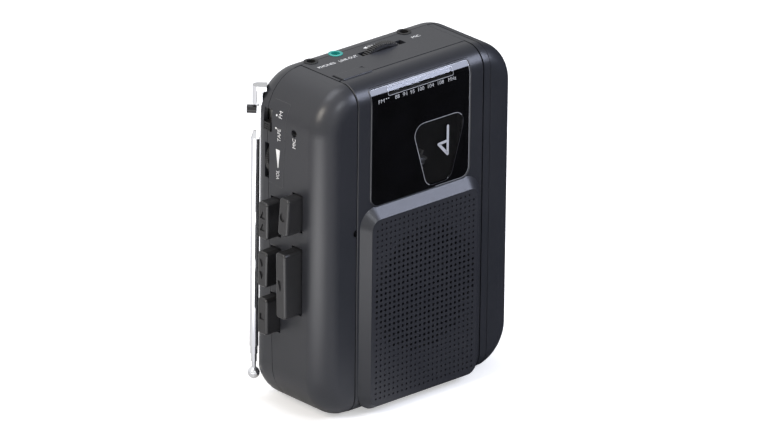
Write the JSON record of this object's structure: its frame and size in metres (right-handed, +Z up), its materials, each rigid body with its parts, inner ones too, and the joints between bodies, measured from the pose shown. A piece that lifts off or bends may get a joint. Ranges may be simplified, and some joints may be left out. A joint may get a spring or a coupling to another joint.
{
  "type": "cassette player",
  "caption": "Pocket cassette player and radio with a hinged front door, side push keys, edge wheels, top sockets, inner tape drive and a folding telescopic aerial.",
  "frame": {"origin": "centre of the body's width and depth between the front shell face and the rear face, on the face the player stands on", "axes": "+X to the right seen from the front, +Y from the front door to the back, +Z up"},
  "size_m": [0.111, 0.0485, 0.1409],
  "materials": {
    "shell_charcoal": "fine matte moulded, charcoal",
    "frame_black": "matte black",
    "gloss_black": "polished near black",
    "smoked_clear": "smoked clear plastic",
    "grille_charcoal": "fine matte moulded, pierced",
    "key_charcoal": "matte, charcoal",
    "nylon_white": "natural nylon",
    "teal_plastic": "moulded teal",
    "circuit_board": "brown phenolic",
    "plated_steel": "zinc plated",
    "spring_steel": "nickel plated",
    "chrome_plate": "bright chrome",
    "polished_steel": "ground and polished",
    "brass": "machined",
    "sintered_bronze": "sintered",
    "drive_rubber": "ground rubber",
    "cone_paper": "black felted paper",
    "ferrite": "sintered ferrite",
    "cell_wrap": "printed sleeve, plain",
    "head_shield": "drawn and polished",
    "black_steel": "black phosphated"
  },
  "bodies": {
    "case": {"left_casing": "shell_charcoal", "right_casing": "shell_charcoal", "centre_frame": "frame_black", "rear_case": "shell_charcoal", "case_screws": "black_steel", "battery_cells": "cell_wrap", "battery_contacts": "spring_steel", "key_lock_plate": "plated_steel", "chassis_plate": "plated_steel", "capstan_bearing": "sintered_bronze", "drive_motor": "plated_steel", "motor_bracket": "plated_steel", "drive_belt": "drive_rubber", "main_board": "circuit_board", "board_components": "frame_black", "phones_socket": "frame_black", "line_out_socket": "teal_plastic", "mic_socket": "frame_black", "volume_pot": "plated_steel", "tuning_capacitor": "nylon_white", "band_switch": "plated_steel", "microphone": "plated_steel", "dial_rail": "polished_steel", "aerial_bracket": "chrome_plate"},
    "door": {"cassette_door": "shell_charcoal", "door_lens": "gloss_black", "door_windows": "smoked_clear", "hinge_pins": "plated_steel", "speaker_grille": "grille_charcoal", "speaker_frame": "plated_steel", "speaker_magnet": "ferrite", "speaker_cone": "cone_paper", "cassette_springs": "spring_steel", "door_latch": "spring_steel"},
    "forward_button": {"forward_key": "key_charcoal"},
    "rewind_button": {"rewind_key": "key_charcoal"},
    "stop_button": {"stop_key": "key_charcoal"},
    "record_button": {"record_key": "key_charcoal"},
    "play_button": {"play_key": "key_charcoal"},
    "head_carriage": {"head_slide": "plated_steel", "playback_head": "head_shield", "erase_head": "frame_black"},
    "roller_arm": {"pinch_arm": "plated_steel"},
    "roller": {"pinch_roller": "drive_rubber"},
    "capstan": {"flywheel": "brass", "capstan_shaft": "polished_steel"},
    "motor_rotor": {"motor_pulley": "brass"},
    "idler": {"idler_wheel": "drive_rubber"},
    "takeup_reel": {"takeup_spindle": "nylon_white"},
    "supply_reel": {"supply_spindle": "nylon_white"},
    "volume_control": {"volume_wheel": "gloss_black"},
    "tuning_control": {"tuning_wheel": "key_charcoal"},
    "pointer": {"dial_pointer": "nylon_white"},
    "band_slider": {"band_switch_knob": "gloss_black"},
    "aerial": {"aerial_base": "chrome_plate", "aerial_screw": "frame_black"},
    "aerial_stage_2": {"aerial_section_2": "chrome_plate"},
    "aerial_stage_3": {"aerial_section_3": "chrome_plate"},
    "aerial_stage_4": {"aerial_section_4": "chrome_plate"},
    "battery_lid": {"battery_cover": "shell_charcoal"}
  },
  "joints": [
    {"name": "door_hinge", "type": "hinge", "parent": "case", "child": "door", "pos_m": [0, -0.0125, 0.009], "axis": [1, 0, 0], "range_deg": [0, 40]},
    {"name": "forward_key_press", "type": "slide", "parent": "case", "child": "forward_button", "axis": [1, 0, 0], "range_m": [0, 0.0035], "stiffness_N_per_m": 150, "springref_m": -0.003},
    {"name": "rewind_key_press", "type": "slide", "parent": "case", "child": "rewind_button", "axis": [1, 0, 0], "range_m": [0, 0.0035], "stiffness_N_per_m": 150, "springref_m": -0.003},
    {"name": "stop_key_press", "type": "slide", "parent": "case", "child": "stop_button", "axis": [1, 0, 0], "range_m": [0, 0.0035], "stiffness_N_per_m": 150, "springref_m": -0.003},
    {"name": "record_key_press", "type": "slide", "parent": "case", "child": "record_button", "axis": [1, 0, 0], "range_m": [0, 0.0035], "stiffness_N_per_m": 150, "springref_m": -0.003},
    {"name": "play_key_press", "type": "slide", "parent": "case", "child": "play_button", "axis": [1, 0, 0], "range_m": [0, 0.0035]},
    {"name": "head_slide_travel", "type": "slide", "parent": "case", "child": "head_carriage", "axis": [1, 0, 0], "range_m": [0, 0.0035]},
    {"name": "pinch_arm_swing", "type": "hinge", "parent": "case", "child": "roller_arm", "pos_m": [-0.0363, -0.0096, 0.03405], "axis": [0, 1, 0], "range_deg": [0, 36.82]},
    {"name": "pinch_roller_spin", "type": "hinge", "parent": "roller_arm", "child": "roller", "pos_m": [-0.0367, -0.0134, 0.04924], "axis": [0, 1, 0], "continuous": true},
    {"name": "capstan_spin", "type": "hinge", "parent": "case", "child": "capstan", "pos_m": [-0.0223, -0.001, 0.0444], "axis": [0, 1, 0], "continuous": true},
    {"name": "motor_spin", "type": "hinge", "parent": "case", "child": "motor_rotor", "pos_m": [0.02, 0, 0.07], "axis": [0, 1, 0], "continuous": true},
    {"name": "idler_spin", "type": "hinge", "parent": "case", "child": "idler", "pos_m": [-0.01079, -0.0023, 0.04911], "axis": [0, 1, 0], "continuous": true},
    {"name": "takeup_spin", "type": "hinge", "parent": "case", "child": "takeup_reel", "pos_m": [0.0035, -0.0023, 0.05495], "axis": [0, 1, 0], "continuous": true},
    {"name": "supply_spin", "type": "hinge", "parent": "case", "child": "supply_reel", "pos_m": [0.0035, -0.0023, 0.09745], "axis": [0, 1, 0], "continuous": true},
    {"name": "volume_turn", "type": "hinge", "parent": "case", "child": "volume_control", "pos_m": [-0.043, 0.0112, 0.1037], "axis": [0, 1, 0], "range_deg": [0, 270]},
    {"name": "tuning_turn", "type": "hinge", "parent": "case", "child": "tuning_control", "pos_m": [0.0028, 0.005, 0.1258], "axis": [0, 1, 0], "range_deg": [-150, 150]},
    {"name": "pointer_travel", "type": "slide", "parent": "case", "child": "pointer", "axis": [1, 0, 0], "range_m": [-0.0145, 0.0145]},
    {"name": "band_switch_travel", "type": "slide", "parent": "case", "child": "band_slider", "axis": [0, 0, 1], "range_m": [0, 0.0049]},
    {"name": "aerial_swing", "type": "hinge", "parent": "case", "child": "aerial", "pos_m": [-0.04942, 0.01992, 0.122], "axis": [0.7071, -0.7071, 0], "range_deg": [0, 135]},
    {"name": "aerial_stage_2_slide", "type": "slide", "parent": "aerial", "child": "aerial_stage_2", "axis": [0, 0, -1], "range_m": [0, 0.08]},
    {"name": "aerial_stage_3_slide", "type": "slide", "parent": "aerial_stage_2", "child": "aerial_stage_3", "axis": [0, 0, -1], "range_m": [0, 0.08]},
    {"name": "aerial_stage_4_slide", "type": "slide", "parent": "aerial_stage_3", "child": "aerial_stage_4", "axis": [0, 0, -1], "range_m": [0, 0.08]},
    {"name": "battery_cover_slide", "type": "slide", "parent": "case", "child": "battery_lid", "axis": [1, 0, 0], "range_m": [0, 0.006]}
  ],
  "couplings": [
    {"joint": "head_slide_travel", "follows": "play_key_press", "ratio": 1},
    {"joint": "pinch_arm_swing", "follows": "play_key_press", "rad_per_m": 183.51},
    {"joint": "motor_spin", "follows": "capstan_spin", "ratio": 4.6667},
    {"joint": "idler_spin", "follows": "capstan_spin", "ratio": -0.93943},
    {"joint": "takeup_spin", "follows": "capstan_spin", "ratio": 0.66667},
    {"joint": "pointer_travel", "follows": "tuning_turn", "m_per_rad": 0.00553}
  ]
}
